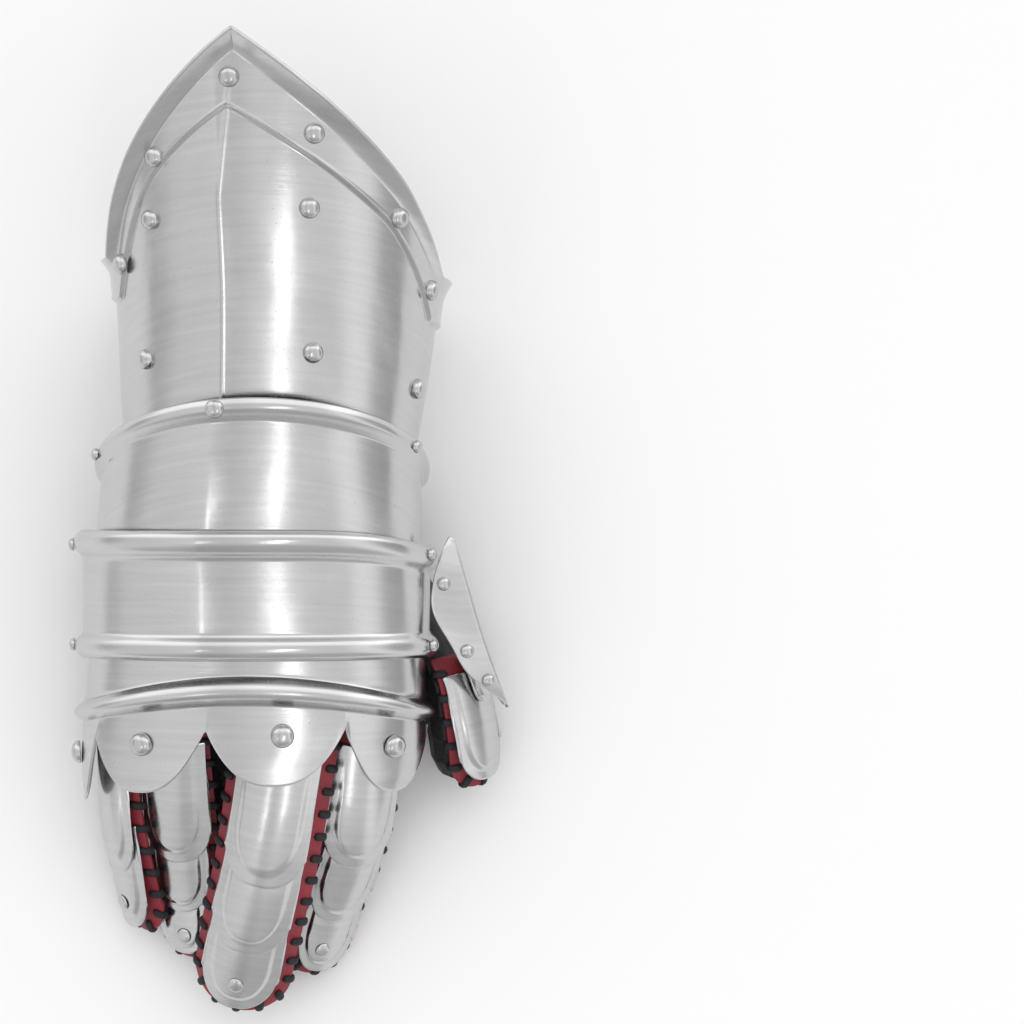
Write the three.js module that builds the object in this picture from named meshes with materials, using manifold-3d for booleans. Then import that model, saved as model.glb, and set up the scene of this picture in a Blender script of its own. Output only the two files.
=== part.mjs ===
// Armoured gauntlet for one hand: steel cuff, wrist and hand lames, finger scales riveted over a leather glove.
// Millimetres. X runs across the hand to the thumb side, +Y from the fingers to the cuff point, +Z up from the
// surface it lies on, palm down. The origin is the middle of the bottom of its bounding box.
import * as THREE from "three";
import Module from "manifold-3d";

const wasm = await Module();
wasm.setup();
const { Manifold, Mesh } = wasm;

// ---- driving dimensions ----
const STEEL = 1.4; // thickness of the cuff, the lames and the knuckle plate
const SCALE_STEEL = 1.0; // thickness of the finger scales
const STRIP_LEATHER = 1.6; // thickness of the red strips under the scales
const GLOVE_LEATHER = 2.0; // wall of the black glove
const RIM_PEAK = 165.5; // height of the cuff point along Y
const RIM_LOW = 84; // height of the cuff rim at its thumb side; the other side stays higher
const RIM_LOW_OUTER = 92;
const RIM_SHIFT = 7; // degrees that the cuff point leans off the medial crest
const CUFF_WRAP = 150; // degrees that the cuff wraps to each side of the top
const LAME_WRAP = 100; // degrees that each lame wraps to each side of the top
const CREST_ANGLE = -15; // angle of the medial crest from straight up
const FLANGE_LENGTH = 6.5; // turned-out rim of the cuff, shorter on its outer side
const FLANGE_OUTER = 4.5;
const FLANGE_RISE = 5;
const BAND_RISE = 1.4; // raised border band under the rim
const SCALE_TILT = 3.0; // rise of a scale's lower end over the next one
const PANEL_RISE = 0.8; // raised U panel of a scale
const SCALE_ROUND = 11; // depth of a scale's rounded end
const STRIP_UNDER = 1.6; // drop from the scale line to the top of the strip
const GLOVE_UNDER = 3.8; // drop from the scale line to the top of the glove
const GAP = 0.3; // rivet head to plate
const MERGE = 0.02; // seams of the glove closer than this are merged
const TIP_CLEAR = 0.2; // the fingers lie this much higher than the palm

// Cuff sections along Y: middle across, half width, height of the middle, height of the crest above it.
const CUFF_ROWS = [
  { y: 5, x: 1.4, half: 53.2, mid: 46, rise: 37 },
  { y: 26, x: 3.1, half: 54.4, mid: 47.5, rise: 38.5 },
  { y: 45, x: 4.3, half: 56.5, mid: 48, rise: 41.5 },
  { y: 78, x: 6.0, half: 59.7, mid: 49, rise: 48 },
  { y: 110, x: 6.3, half: 63.3, mid: 51, rise: 54 },
  { y: 170, x: 6.6, half: 69.2, mid: 55.5, rise: 61.5 },
];
const WRIST_ROWS = [
  { y: -20, x: -2.0, half: 60.4, mid: 42.5, rise: 38.5 },
  { y: 5, x: -0.8, half: 59.6, mid: 45.5, rise: 42.3 },
  { y: 42, x: 1.6, half: 57.6, mid: 49, rise: 45.5 },
];
const HAND_ROWS = [
  { y: -60, x: -3.0, half: 64.9, mid: 36, rise: 36.8 },
  { y: -30, x: -2.8, half: 64.7, mid: 40, rise: 39 },
  { y: 0, x: -2.5, half: 64.6, mid: 44, rise: 43.4 },
];
const KNUCKLE_ROWS = [
  { y: -108, x: -6.4, half: 60.8, mid: 30, rise: 32.5 },
  { y: -85, x: -4.8, half: 64.2, mid: 32.5, rise: 34 },
  { y: -60, x: -3.2, half: 63.4, mid: 35, rise: 35 },
  { y: -44, x: -3.0, half: 61.6, mid: 36.5, rise: 35.4 },
];
// Scallops of the knuckle plate: edge angles, and how far down its point reaches.
const LOBES = [
  { name: "little", left: -110, right: -62, high: -83, low: -107.5, angle: -86, rivet: -90 },
  { name: "ring", left: -62, right: -13.5, high: -80, low: -102.6, angle: -36, rivet: -85 },
  { name: "middle", left: -13.5, right: 34, high: -77.5, low: -99.7, angle: 12, rivet: -81.5 },
  { name: "index", left: 34, right: 88, high: -80, low: -103.2, angle: 56, rivet: -86.5 },
];
// Digits: the line along the top of the scales (from tip to root), lean to the thumb side in degrees, half width of
// the scales at root and tip, height of their arch, depth of the glove under it, and the reach of the strip beside them.
const DIGITS = [
  {
    name: "middle",
    line: [
      { y: -187, x: -13.4, z: 24 },
      { y: -160, x: -7.2, z: 38.2 },
      { y: -125, x: 1.2, z: 51.5 },
      { y: -76, x: 9.5, z: 63.5 },
    ],
    lean: -3,
    halfRoot: 15.6,
    halfTip: 14.2,
    arch: 5.2,
    tuck: 14,
    depth: 13,
    left: 4.6,
    right: 4.4,
    core: [0.92, 0.92],
    scales: [
      { from: -84, to: -137.6, left: 1, right: 1 },
      { from: -118, to: -163.6, left: 1, right: 1 },
      { from: -148, to: -185.8, left: 1, right: 1 },
    ],
  },
  {
    name: "ring",
    line: [
      { y: -169, x: -30.8, z: 13.6 },
      { y: -150, x: -32.2, z: 19.6 },
      { y: -118, x: -34.6, z: 33.5 },
      { y: -76, x: -37.2, z: 51 },
    ],
    lean: -24,
    halfRoot: 14.6,
    halfTip: 13,
    arch: 5,
    tuck: 14,
    depth: 10,
    left: 3.8,
    right: 0.6,
    core: [0.8, 0.5],
    scales: [
      { from: -86, to: -130.6, left: 1, right: 1 },
      { from: -117, to: -150.6, left: 1, right: 0.82 },
      { from: -139, to: -167.6, left: 1, right: 0.6 },
    ],
  },
  {
    name: "index",
    line: [
      { y: -175, x: 16, z: 13 },
      { y: -154, x: 23.3, z: 21 },
      { y: -124, x: 34.4, z: 34.5 },
      { y: -76, x: 43.6, z: 48 },
    ],
    lean: 28,
    halfRoot: 14.2,
    halfTip: 12.6,
    arch: 5,
    tuck: 14,
    depth: 10,
    left: 0.6,
    right: 3.2,
    core: [0.5, 0.8],
    scales: [
      { from: -88, to: -132.3, left: 1, right: 1 },
      { from: -115, to: -154, left: 0.85, right: 1 },
      { from: -140, to: -174, left: 0.72, right: 1 },
    ],
  },
  {
    name: "little",
    line: [
      { y: -159, x: -51, z: 12 },
      { y: -140, x: -54.8, z: 19.5 },
      { y: -118, x: -58.6, z: 27 },
      { y: -76, x: -62.4, z: 36 },
    ],
    lean: -54,
    halfRoot: 12.2,
    halfTip: 11,
    arch: 4.2,
    tuck: 4,
    depth: 6,
    left: 0.8,
    right: 0.6,
    core: [0.8, 0.1],
    scales: [
      { from: -90, to: -135, left: 1, right: 0.92 },
      { from: -118, to: -157, left: 1, right: 0.92 },
    ],
  },
  {
    name: "thumb",
    line: [
      { y: -101, x: 82, z: 19 },
      { y: -80, x: 80.4, z: 26.5 },
      { y: -58, x: 76.6, z: 29.5 },
      { y: -38, x: 67.5, z: 22.5 },
      { y: -16, x: 52, z: 18 },
    ],
    lean: 50,
    halfRoot: 12.6,
    halfTip: 11.4,
    arch: 4,
    tuck: 1,
    depth: 19,
    left: 0.6,
    right: 1.2,
    core: [1.05, 0.9],
    scales: [
      { from: -54, to: -71, left: 0.3, right: 1 },
      { from: -60, to: -100, left: 1, right: 1 },
    ],
  },
];
// Glove hand sections: middle across, half width, height of the widest line, top and underside.
const PALM_ROWS = [
  { y: -122, x: -8, half: 38, mid: 9, top: 14, under: 3 },
  { y: -108, x: -6, half: 46, mid: 13, top: 22, under: -2 },
  { y: -82, x: -4, half: 52, mid: 20, top: 34, under: -3 },
  { y: -60, x: -3, half: 53, mid: 26, top: 46, under: -3 },
  { y: -25, x: -1, half: 51, mid: 33, top: 62, under: -3 },
  { y: 2, x: 1, half: 46, mid: 36, top: 72, under: -2 },
  { y: 20, x: 3, half: 42, mid: 38, top: 76, under: 7 },
  { y: 46, x: 4, half: 42, mid: 40, top: 80, under: 11 },
];
// Folded thumb plate, from its upper corner to its point: free edge, fold, and how far the folded side turns down.
const THUMB_PLATE = [
  { edge: [69.4, -9.5, 47], fold: [71.4, -10.5, 46.5], down: 3 },
  { edge: [67, -15, 49], fold: [73.4, -17, 46], down: 6 },
  { edge: [63.8, -26, 49], fold: [77, -28.5, 44.5], down: 8 },
  { edge: [63.6, -37, 48], fold: [80.8, -41.5, 42.5], down: 8 },
  { edge: [70.6, -50, 46.4], fold: [85.2, -55, 40.5], down: 7 },
  { edge: [76.6, -60.5, 43], fold: [88.4, -64.5, 37.5], down: 6 },
  { edge: [89.6, -71.5, 34.4], fold: [91.3, -73, 33], down: 3 },
];

const group = new THREE.Group();
const rad = THREE.MathUtils.degToRad;
const lerp = THREE.MathUtils.lerp;
const clamp = THREE.MathUtils.clamp;

function material(colour, metalness, roughness) {
  return new THREE.MeshStandardMaterial({ color: colour, metalness, roughness, side: THREE.DoubleSide });
}
const steel = () => material(0xc6c8ca, 1, 0.3);
const rivetSteel = () => material(0xb4b6b8, 1, 0.35);
const redLeather = () => material(0x9b2d37, 0, 0.6);
const blackLeather = () => material(0x17171a, 0, 0.6);

// ---- helpers ----
// The value of one column of a table of sections at y, on a smooth curve through the rows.
function along(rows, y, column) {
  let i = 0;
  while (i < rows.length - 2 && y > rows[i + 1].y) i += 1;
  const a = rows[i];
  const b = rows[i + 1];
  const slope = (p, q) => (q[column] - p[column]) / (q.y - p.y);
  const here = slope(a, b);
  const before = i > 0 ? (slope(rows[i - 1], a) + here) / 2 : here;
  const after = i < rows.length - 2 ? (here + slope(b, rows[i + 2])) / 2 : here;
  const span = b.y - a.y;
  const t = clamp((y - a.y) / span, 0, 1);
  const value =
    a[column] * (1 + 2 * t) * (1 - t) ** 2 +
    b[column] * t * t * (3 - 2 * t) +
    span * (before * t * (1 - t) ** 2 - after * t * t * (1 - t));
  const beyond = y < a.y ? before * (y - a.y) : y > b.y ? after * (y - b.y) : 0;
  return value + beyond;
}

function geometryOf(positions, triangles) {
  const geometry = new THREE.BufferGeometry();
  geometry.setAttribute("position", new THREE.Float32BufferAttribute(positions, 3));
  geometry.setIndex(triangles);
  return facingOut(geometry);
}

// Turns every face round when the enclosed volume comes out negative.
function facingOut(geometry) {
  const at = geometry.getAttribute("position");
  const index = geometry.getIndex().array;
  const corner = (k) => new THREE.Vector3().fromBufferAttribute(at, index[k]);
  let volume = 0;
  for (let k = 0; k < index.length; k += 3) volume += corner(k).dot(corner(k + 1).cross(corner(k + 2)));
  if (volume < 0) {
    for (let k = 0; k < index.length; k += 3) [index[k], index[k + 1]] = [index[k + 1], index[k]];
  }
  geometry.computeVertexNormals();
  return geometry;
}

function gridNormal(grid, i, j) {
  const up = grid[Math.min(i + 1, grid.length - 1)][j].clone().sub(grid[Math.max(i - 1, 0)][j]);
  const row = grid[i];
  const across = row[Math.min(j + 1, row.length - 1)].clone().sub(row[Math.max(j - 1, 0)]);
  return across.cross(up).normalize();
}

// A closed thin sheet: a grid of points on its outer face, a second grid one thickness inside, and a rim all round.
function sheet(grid, thickness) {
  const rows = grid.length;
  const columns = grid[0].length;
  const middle = new THREE.Vector3();
  grid.flat().forEach((p) => middle.addScaledVector(p, 1 / (rows * columns)));
  const normals = grid.map((row, i) => row.map((p, j) => gridNormal(grid, i, j)));
  let outward = 0;
  grid.forEach((row, i) => row.forEach((p, j) => (outward += normals[i][j].dot(p.clone().sub(middle)))));
  const inward = -Math.sign(outward) * thickness;
  const positions = [];
  grid.flat().forEach((p) => positions.push(p.x, p.y, p.z));
  grid.forEach((row, i) =>
    row.forEach((p, j) => {
      const q = p.clone().addScaledVector(normals[i][j], inward);
      positions.push(q.x, q.y, q.z);
    }),
  );
  const inner = rows * columns;
  const id = (i, j) => i * columns + j;
  const triangles = [];
  const quad = (a, b, c, d) => triangles.push(a, b, c, a, c, d);
  for (let i = 0; i < rows - 1; i += 1) {
    for (let j = 0; j < columns - 1; j += 1) {
      quad(id(i, j), id(i, j + 1), id(i + 1, j + 1), id(i + 1, j));
      quad(inner + id(i, j), inner + id(i + 1, j), inner + id(i + 1, j + 1), inner + id(i, j + 1));
    }
  }
  for (let j = 0; j < columns - 1; j += 1) {
    quad(id(0, j + 1), id(0, j), inner + id(0, j), inner + id(0, j + 1));
    quad(id(rows - 1, j), id(rows - 1, j + 1), inner + id(rows - 1, j + 1), inner + id(rows - 1, j));
  }
  for (let i = 0; i < rows - 1; i += 1) {
    quad(id(i, 0), id(i + 1, 0), inner + id(i + 1, 0), inner + id(i, 0));
    quad(id(i + 1, columns - 1), id(i, columns - 1), inner + id(i, columns - 1), inner + id(i + 1, columns - 1));
  }
  return geometryOf(positions, triangles);
}

// A closed solid through a row of rings, each capped at the ends to its middle.
function loft(rings) {
  const count = rings[0].length;
  const positions = [];
  rings.flat().forEach((p) => positions.push(p.x, p.y, p.z));
  const triangles = [];
  for (let i = 0; i < rings.length - 1; i += 1) {
    for (let j = 0; j < count; j += 1) {
      const k = (j + 1) % count;
      const a = i * count + j;
      const b = i * count + k;
      triangles.push(a, b, b + count, a, b + count, a + count);
    }
  }
  const cap = (ring, first, turned) => {
    const middle = new THREE.Vector3();
    ring.forEach((p) => middle.addScaledVector(p, 1 / count));
    const centre = positions.length / 3;
    positions.push(middle.x, middle.y, middle.z);
    for (let j = 0; j < count; j += 1) {
      const a = first + j;
      const b = first + ((j + 1) % count);
      triangles.push(centre, turned ? a : b, turned ? b : a);
    }
  };
  cap(rings[0], 0, false);
  cap(rings[rings.length - 1], (rings.length - 1) * count, true);
  return geometryOf(positions, triangles);
}

function solid(geometry) {
  const at = geometry.getAttribute("position").array;
  return new Manifold(
    new Mesh({ numProp: 3, vertProperties: new Float32Array(at), triVerts: new Uint32Array(geometry.getIndex().array) }),
  );
}

function geometryFrom(manifold) {
  const mesh = manifold.getMesh();
  return geometryOf(Array.from(mesh.vertProperties), Array.from(mesh.triVerts));
}

function add(name, geometry, finish) {
  const mesh = new THREE.Mesh(geometry, finish);
  mesh.name = name;
  group.add(mesh);
}

// A domed rivet head standing on a surface point, its underside just off the plate.
function rivet(name, place, radius, height) {
  const profile = [
    [0, 0],
    [0.94, 0],
    [1, 0.22],
    [0.86, 0.58],
    [0.5, 0.9],
    [0, 1],
  ].map(([r, h]) => new THREE.Vector2(r * radius, h * height));
  const head = new THREE.LatheGeometry(profile, 12);
  const turn = new THREE.Quaternion().setFromUnitVectors(new THREE.Vector3(0, 1, 0), place.normal);
  head.applyQuaternion(turn);
  const foot = place.point.clone().addScaledVector(place.normal, GAP);
  head.translate(foot.x, foot.y, foot.z);
  add(name, head, rivetSteel());
}

// A point and outward normal of a surface given as a function of two parameters.
function placeOn(surface, a, b, inside) {
  const step = 0.5;
  const point = surface(a, b);
  const across = surface(a + step, b).sub(surface(a - step, b));
  const up = surface(a, b + step).sub(surface(a, b - step));
  const normal = across.cross(up).normalize();
  if (normal.dot(point.clone().sub(inside)) < 0) normal.negate();
  return { point, normal };
}

// ---- cuff, lames and knuckle plate ----
// A point of an arched section at an angle from straight up, raised off its table size by `rise`.
function archPoint(rows, angle, y, rise, crest) {
  const t = rad(angle);
  const peak = crest * clamp(1 - Math.abs(angle - CREST_ANGLE) / 50, 0, 1) ** 2;
  const half = along(rows, y, "half") + rise;
  const middle = along(rows, y, "mid");
  const high = along(rows, y, "rise") + rise + peak;
  const low = rows === CUFF_ROWS ? (middle - 1) / Math.cos(rad(180 - CUFF_WRAP)) + Math.min(rise, 0.5) : high;
  const height = Math.cos(t) > 0 ? high : low;
  return new THREE.Vector3(along(rows, y, "x") + half * Math.sin(t), y, middle + height * Math.cos(t));
}

function rimAngle(angle) {
  return angle + RIM_SHIFT * Math.max(0, 1 - Math.abs(angle - CREST_ANGLE) / 60);
}

function rimHeight(angle) {
  const turn = rimAngle(angle) - rimAngle(CREST_ANGLE);
  const fall = turn > 0 ? 0.8 * turn + 0.0025 * turn * turn : -1.05 * turn + 0.0042 * turn * turn;
  const low = lerp(RIM_LOW_OUTER, RIM_LOW, clamp((angle + 90) / 180, 0, 1));
  return Math.max(RIM_PEAK - fall, low);
}

function flangeLength(angle) {
  return lerp(FLANGE_LENGTH, FLANGE_OUTER, clamp((CREST_ANGLE - angle) / 40, 0, 1));
}

// The rim turns out less at the sides than round its point.
function flangeRise(angle) {
  return FLANGE_RISE * lerp(1, 0.45, clamp((Math.abs(angle - CREST_ANGLE) - 30) / 40, 0, 1));
}

function bandWidth(angle) {
  const turn = angle - CREST_ANGLE;
  return Math.max(24 - (turn > 0 ? 0.15 : -0.4) * turn, flangeLength(angle) + 9);
}

// The cuff is wider round the point of its rim than over its crest, so its columns lean with the rim.
function cuffSurface(angle, y, rise) {
  const lean = clamp((y - 110) / (RIM_PEAK - 110), 0, 1);
  return archPoint(CUFF_ROWS, lerp(angle, rimAngle(angle), lean), y, rise, 3);
}

function cuffLower(angle) {
  return Math.max(30 - 21 * (1 - Math.cos(rad(angle))), 10);
}

function cuff() {
  const angles = [-150, -135, -120, -105, -90, -78, -66, -54, -42, -32, -23, -15, -6, 4, 15, 27, 39, 51, 63, 75, 90, 105, 120, 135, 150];
  const grid = [];
  const bodyRows = 5;
  const levels = [
    { drop: (angle) => bandWidth(angle) + 1, rise: 0, flange: 0 },
    { drop: (angle) => bandWidth(angle) - 1, rise: BAND_RISE, flange: 0 },
    { drop: (angle) => flangeLength(angle), rise: BAND_RISE, flange: 0 },
    { drop: (angle) => flangeLength(angle) * 0.55, rise: BAND_RISE, flange: 0.35 },
    { drop: () => 0, rise: BAND_RISE, flange: 1 },
  ];
  for (let i = 0; i < bodyRows; i += 1) {
    grid.push(
      angles.map((angle) => {
        const top = rimHeight(angle) - bandWidth(angle) - 1;
        return cuffSurface(angle, lerp(cuffLower(angle), top, i / bodyRows), 0);
      }),
    );
  }
  levels.forEach(({ drop, rise, flange }) =>
    grid.push(
      angles.map((angle) => cuffSurface(angle, rimHeight(angle) - drop(angle), rise + flange * flangeRise(angle))),
    ),
  );
  add("cuff", sheet(grid, STEEL), steel());
}

// Rows of one lame, each a distance from its upper (from > 0) or lower edge with the rise of its surface there.
const HALF_BEAD = [
  [0, 0.6],
  [1.4, 2.3],
  [4.2, 3.2],
  [7.4, 2.4],
  [9.6, 0.5],
  [10.6, 0],
];

function lame(name, rows, upper, lower, profile) {
  const angles = [];
  const steps = 16;
  for (let j = 0; j <= steps; j += 1) angles.push(lerp(-LAME_WRAP, LAME_WRAP, j / steps));
  const grid = profile.map(({ side, off, rise }) =>
    angles.map((angle) => {
      const y = side === "upper" ? upper(angle) - off : lower(angle) + off;
      return archPoint(rows, angle, y, rise, 1.2);
    }),
  );
  add(name, sheet(grid, STEEL), steel());
}

const wristUpper = (angle) => 40 - 21 * (1 - Math.cos(rad(angle)));
const handUpper = (angle) => -6.8 - (angle > 0 ? 6 * Math.sin(rad(angle)) ** 4 : 0);
const HAND_LOWER = -54;

function lames() {
  const flare = [
    [0, 2.2],
    [2, 3],
    [4, 2.8],
    [6, 1.2],
    [7.6, 0],
  ];
  lame("wrist_lame", WRIST_ROWS, wristUpper, () => -14, [
    ...flare.map(([off, rise]) => ({ side: "upper", off, rise })),
    { side: "upper", off: 18, rise: 0 },
    { side: "lower", off: 12, rise: 0 },
    { side: "lower", off: 0, rise: 0 },
  ]);
  lame("hand_lame", HAND_ROWS, handUpper, () => HAND_LOWER, [
    ...HALF_BEAD.map(([off, rise]) => ({ side: "upper", off, rise })),
    { side: "lower", off: 19, rise: 0 },
    ...HALF_BEAD.map(([off, rise]) => ({ side: "lower", off: off * 0.92, rise })).reverse(),
  ]);
}

function lobeEdge(angle) {
  const lobe = LOBES.find((l) => angle <= l.right) ?? LOBES[LOBES.length - 1];
  const q = clamp((angle - (lobe.left + lobe.right) / 2) / ((lobe.right - lobe.left) / 2), -1, 1);
  return lerp(lobe.high, lobe.low, 1 - Math.abs(q) ** 2.6);
}

// Ridge over the knuckles: its upper and lower crease fall away to the sides.
const knuckleRidge = (angle, share) => lerp(-59.5, -70.5, share) - lerp(11, 8, share) * Math.sin(rad(angle)) ** 2;

function knuckleSurface(angle, y, rise) {
  return archPoint(KNUCKLE_ROWS, angle, y, rise, 0);
}

function knucklePlate() {
  const angles = [];
  LOBES.forEach(({ left, right }) => {
    for (let j = 0; j < 6; j += 1) angles.push(lerp(left, right, j / 6));
  });
  angles.push(LOBES[LOBES.length - 1].right);
  const ridge = [
    [0, 0],
    [0.12, 1.2],
    [0.35, 3.2],
    [0.62, 3.6],
    [0.86, 1.6],
    [1, 0],
  ];
  const grid = [angles.map((angle) => knuckleSurface(angle, -46, 0))];
  ridge.forEach(([share, rise]) =>
    grid.push(angles.map((angle) => knuckleSurface(angle, knuckleRidge(angle, share), rise))),
  );
  [0.35, 0.7, 1].forEach((share) =>
    grid.push(
      angles.map((angle) => {
        const y = lerp(knuckleRidge(angle, 1), lobeEdge(angle), share);
        return knuckleSurface(angle, y, 1.2 * share);
      }),
    ),
  );
  add("knuckle_plate", sheet(grid, STEEL), steel());
}

// ---- digits ----
// The middle line of a digit at y with its directions along, across and out of the scales.
function digitFrame(digit, y) {
  const at = (v) => new THREE.Vector3(along(digit.line, v, "x"), v, along(digit.line, v, "z"));
  const point = at(y);
  const forward = at(y - 0.5).sub(at(y + 0.5)).normalize();
  const level = new THREE.Vector3(0, 0, 1).cross(forward).normalize();
  const up = forward.clone().cross(level);
  const lean = rad(digit.lean);
  const out = up.clone().multiplyScalar(Math.cos(lean)).addScaledVector(level, Math.sin(lean));
  const across = level.clone().multiplyScalar(Math.cos(lean)).addScaledVector(up, -Math.sin(lean));
  return { point, across, out };
}

function halfWidth(digit, y) {
  const root = digit.line[digit.line.length - 1].y;
  const tip = digit.line[0].y;
  return lerp(digit.halfTip, digit.halfRoot, clamp((y - tip) / (root - tip), 0, 1));
}

function digitPoint(digit, y, x, rise) {
  const { point, across, out } = digitFrame(digit, y);
  const fall = digit.arch * (x / halfWidth(digit, y)) ** 2;
  return point.addScaledVector(across, x).addScaledVector(out, rise - fall);
}

function roundEnd(to, u, depth) {
  return to + depth * (1 - Math.sqrt(Math.max(0, 1 - Math.abs(u) ** 2.6)));
}

function scalePoint(digit, scale, u, v) {
  const end = roundEnd(scale.to, u, SCALE_ROUND);
  const y = lerp(scale.from, end, v);
  const panel = clamp((0.82 - Math.abs(u)) / 0.12, 0, 1) * clamp((0.925 - v) / 0.045, 0, 1) * clamp(v / 0.5, 0, 1);
  const side = u < 0 ? scale.left : scale.right;
  return digitPoint(digit, y, u * side * halfWidth(digit, y), 0.2 + SCALE_TILT * v + PANEL_RISE * panel);
}

function scales(digit) {
  const us = [-1, -0.82, -0.7, -0.36, 0, 0.36, 0.7, 0.82, 1];
  const vs = [0, 0.3, 0.6, 0.88, 0.925, 1];
  digit.scales.forEach((scale, k) => {
    const grid = vs.map((v) => us.map((u) => scalePoint(digit, scale, u, v)));
    add(`${digit.name}_scale_${k + 1}`, sheet(grid, SCALE_STEEL), steel());
  });
}

function strip(digit) {
  const last = digit.scales[digit.scales.length - 1].to;
  const root = digit.scales[0].from + digit.tuck;
  const us = [-1, -0.8, -0.5, -0.2, 0.2, 0.5, 0.8, 1];
  const steps = 9;
  const grid = [];
  for (let i = 0; i <= steps; i += 1) {
    grid.push(
      us.map((u) => {
        const y = lerp(root, roundEnd(last - 3.5, u, 10), i / steps);
        const side = u < 0 ? digit.left : digit.right;
        return digitPoint(digit, y, u * (halfWidth(digit, y) + side), -STRIP_UNDER);
      }),
    );
  }
  add(`${digit.name}_strip`, sheet(grid, STRIP_LEATHER), redLeather());
}

// ---- glove ----
const RING = 16;

function digitRing(digit, y, inset, share) {
  const ring = [];
  const wide = halfWidth(digit, y) * share;
  const { point, across, out } = digitFrame(digit, y);
  const deepest = digit.depth * share - 2 * inset;
  for (let j = 0; j < RING; j += 1) {
    const t = (2 * Math.PI * j) / RING;
    const s = Math.sin(t);
    const x = s * (wide * digit.core[s < 0 ? 0 : 1] - inset);
    const side = -GLOVE_UNDER - inset - digit.arch * (x / halfWidth(digit, y)) ** 2;
    const sunk = (1 - share) * 6;
    const low = Math.cos(t) < 0 ? deepest * Math.cos(t) : 0;
    const p = point.clone().addScaledVector(across, x).addScaledVector(out, side - sunk + low);
    p.z = Math.max(p.z, inset + TIP_CLEAR);
    ring.push(p);
  }
  return ring;
}

function digitTube(digit, inset) {
  const tip = digit.scales[digit.scales.length - 1].to - 2;
  const root = digit.line[digit.line.length - 1].y;
  const rows = [
    [tip + inset, 0.45],
    [tip + 2.5 + inset, 0.8],
    [tip + 8, 0.97],
    [tip + 18, 1],
    [lerp(tip, root, 0.45), 1],
    [lerp(tip, root, 0.72), 1],
    [root, 1],
  ];
  return solid(loft(rows.map(([y, share]) => digitRing(digit, y, inset, share))));
}

function palmRing(row, inset, y) {
  const ring = [];
  const count = 24;
  for (let j = 0; j < count; j += 1) {
    const t = (2 * Math.PI * j) / count;
    const c = Math.cos(t);
    const s = Math.sin(t);
    const power = s > 0 ? 1 : 0.62;
    const reach = s > 0 ? row.top - row.mid - inset : row.mid - row.under - inset;
    const x = row.x + (row.half - inset) * Math.sign(c) * Math.abs(c) ** (s > 0 ? 1 : 0.75);
    const z = row.mid + reach * Math.sign(s) * Math.abs(s) ** power;
    ring.push(new THREE.Vector3(x, y, Math.max(z, inset)));
  }
  return ring;
}

function palm(inset) {
  const last = PALM_ROWS.length - 1;
  const rings = PALM_ROWS.map((row, i) => {
    const open = i === last ? inset * 2 : 0;
    const closed = i === 0 ? inset : 0;
    return palmRing(row, inset, row.y + open + closed);
  });
  return solid(loft(rings));
}

function glove() {
  let outer = palm(0);
  let inner = palm(GLOVE_LEATHER);
  DIGITS.forEach((digit) => {
    outer = outer.add(digitTube(digit, 0));
    inner = inner.add(digitTube(digit, GLOVE_LEATHER));
  });
  const bodies = outer.subtract(inner).simplify(MERGE).decompose();
  bodies.sort((a, b) => b.volume() - a.volume());
  add("glove", geometryFrom(bodies[0]), blackLeather());
}

// ---- thumb plate ----
function thumbPlate() {
  const grid = THUMB_PLATE.map(({ edge, fold, down }) => {
    const a = new THREE.Vector3(...edge);
    const b = new THREE.Vector3(...fold);
    const turned = new THREE.Vector3(-0.12, -0.1, -1).multiplyScalar(down).add(b);
    return [a, a.clone().lerp(b, 0.5), a.clone().lerp(b, 0.9), b.clone().add(new THREE.Vector3(0.2, 0, -1.2)), turned];
  });
  add("thumb_plate", sheet(grid, SCALE_STEEL), steel());
}

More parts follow.
